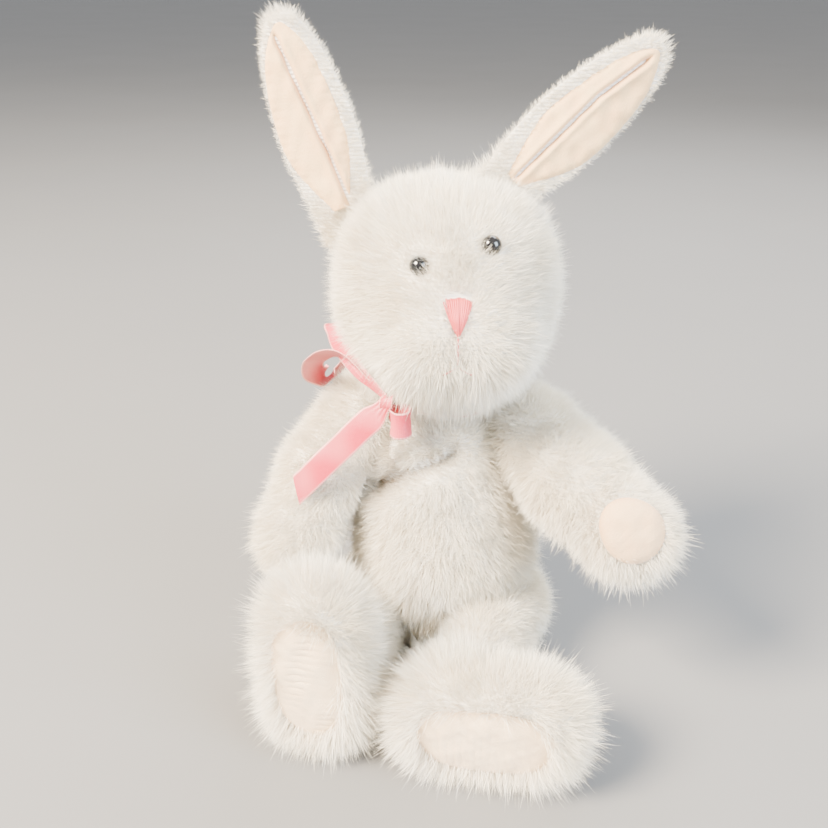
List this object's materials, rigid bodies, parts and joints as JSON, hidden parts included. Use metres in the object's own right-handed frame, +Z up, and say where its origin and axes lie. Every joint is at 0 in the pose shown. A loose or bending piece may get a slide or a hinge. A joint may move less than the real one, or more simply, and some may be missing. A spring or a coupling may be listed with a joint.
{
  "type": "jointed plush rabbit",
  "caption": "Seated fluffy plush rabbit with long lined ears, stitched nose, velour pads, neck ribbon and disc-jointed head, arms and legs.",
  "frame": {"origin": "centre of the flat seat under the torso, level with the surface the rabbit sits on", "axes": "+Z up, the belly faces -Y, +X towards the rabbit's own left"},
  "size_m": [0.1145, 0.102, 0.1768],
  "materials": {
    "plush": "matte",
    "velour": "matte",
    "filling": "matte",
    "joint_plastic": "satin",
    "bead": "gloss",
    "thread": "satin",
    "satin_ribbon": "satin"
  },
  "bodies": {
    "torso": {"torso_skin": "plush", "torso_filling": "filling", "tail_pompon": "plush", "neck_washer": "joint_plastic", "shoulder_washer_left": "joint_plastic", "shoulder_washer_right": "joint_plastic", "hip_washer_left": "joint_plastic", "hip_washer_right": "joint_plastic", "neck_band": "satin_ribbon", "bow_knot": "satin_ribbon", "bow_loop_upper": "satin_ribbon", "bow_loop_lower": "satin_ribbon", "bow_tail": "satin_ribbon"},
    "head": {"head_skin": "plush", "head_filling": "filling", "ear_left": "plush", "ear_right": "plush", "ear_lining_left": "velour", "ear_lining_right": "velour", "eye_left": "bead", "eye_right": "bead", "eye_washer_left": "joint_plastic", "eye_washer_right": "joint_plastic", "nose_stitching": "thread", "mouth_stitching": "thread", "neck_stem_disc": "joint_plastic", "neck_lock": "joint_plastic"},
    "arm_left": {"arm_skin_left": "plush", "arm_filling_left": "filling", "paw_pad_left": "velour", "shoulder_stem_disc_left": "joint_plastic", "shoulder_lock_left": "joint_plastic"},
    "arm_right": {"arm_skin_right": "plush", "arm_filling_right": "filling", "paw_pad_right": "velour", "shoulder_stem_disc_right": "joint_plastic", "shoulder_lock_right": "joint_plastic"},
    "leg_left": {"leg_skin_left": "plush", "leg_filling_left": "filling", "sole_pad_left": "velour", "hip_stem_disc_left": "joint_plastic", "hip_lock_left": "joint_plastic"},
    "leg_right": {"leg_skin_right": "plush", "leg_filling_right": "filling", "sole_pad_right": "velour", "hip_stem_disc_right": "joint_plastic", "hip_lock_right": "joint_plastic"}
  },
  "joints": [
    {"name": "neck_swivel", "type": "hinge", "parent": "torso", "child": "head", "pos_m": [0, 0, 0.077], "axis": [0, 0, 1], "range_deg": [-50, 50], "deforming": ["bow_loop_upper"]},
    {"name": "shoulder_left", "type": "hinge", "parent": "torso", "child": "arm_left", "pos_m": [0.01526, 0, 0.065], "axis": [-0.9272, 0, -0.3746], "range_deg": [-100, 50]},
    {"name": "shoulder_right", "type": "hinge", "parent": "torso", "child": "arm_right", "pos_m": [-0.01526, 0, 0.065], "axis": [-0.9272, 0, 0.3746], "range_deg": [-90, 60], "deforming": ["bow_tail"]},
    {"name": "hip_left", "type": "hinge", "parent": "torso", "child": "leg_left", "pos_m": [0.0096, 0, 0.0123], "axis": [-1, 0, 0], "range_deg": [-100, 3]},
    {"name": "hip_right", "type": "hinge", "parent": "torso", "child": "leg_right", "pos_m": [-0.0096, 0, 0.0123], "axis": [-1, 0, 0], "range_deg": [-100, 3]}
  ]
}
